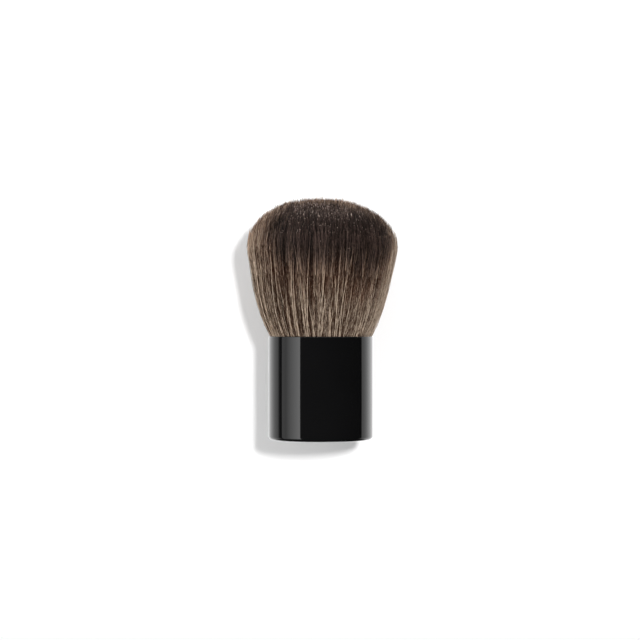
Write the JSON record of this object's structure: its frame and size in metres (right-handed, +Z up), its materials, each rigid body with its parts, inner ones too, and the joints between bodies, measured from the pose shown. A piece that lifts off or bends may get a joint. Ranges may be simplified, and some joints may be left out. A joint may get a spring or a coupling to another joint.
{
  "type": "powder brush",
  "caption": "Short powder brush: a full, domed hair tuft glued in a glossy black round metal handle that stands on its flat base.",
  "frame": {"origin": "centre of the flat base, on the surface that the brush stands on", "axes": "+Z up along the brush's axis, from the base to the crown of the tuft; X and Y are across, and the brush looks alike from every side"},
  "size_m": [0.0472, 0.0472, 0.076],
  "materials": {
    "black_lacquer": "high-gloss black lacquer on drawn aluminium",
    "brown_hair": "soft dark brown hair with taupe flanks and satin streaks",
    "root_resin": "set amber resin with hair ends in it",
    "waxed_thread": "waxed off-white thread",
    "bare_aluminium": "bare drawn aluminium",
    "moulded_plastic": "matt moulded black",
    "set_adhesive": "set clear adhesive",
    "plated_steel": "zinc-plated, tumbled",
    "foam": "closed-cell foam with adhesive on both faces"
  },
  "bodies": {
    "root": {"handle_shell": "black_lacquer", "bristles": "brown_hair", "root_block": "root_resin", "binding_thread": "waxed_thread", "hair_cup": "bare_aluminium", "core_insert": "moulded_plastic", "shell_adhesive": "set_adhesive", "weight_slug": "plated_steel", "weight_pad": "foam"}
  },
  "joints": []
}
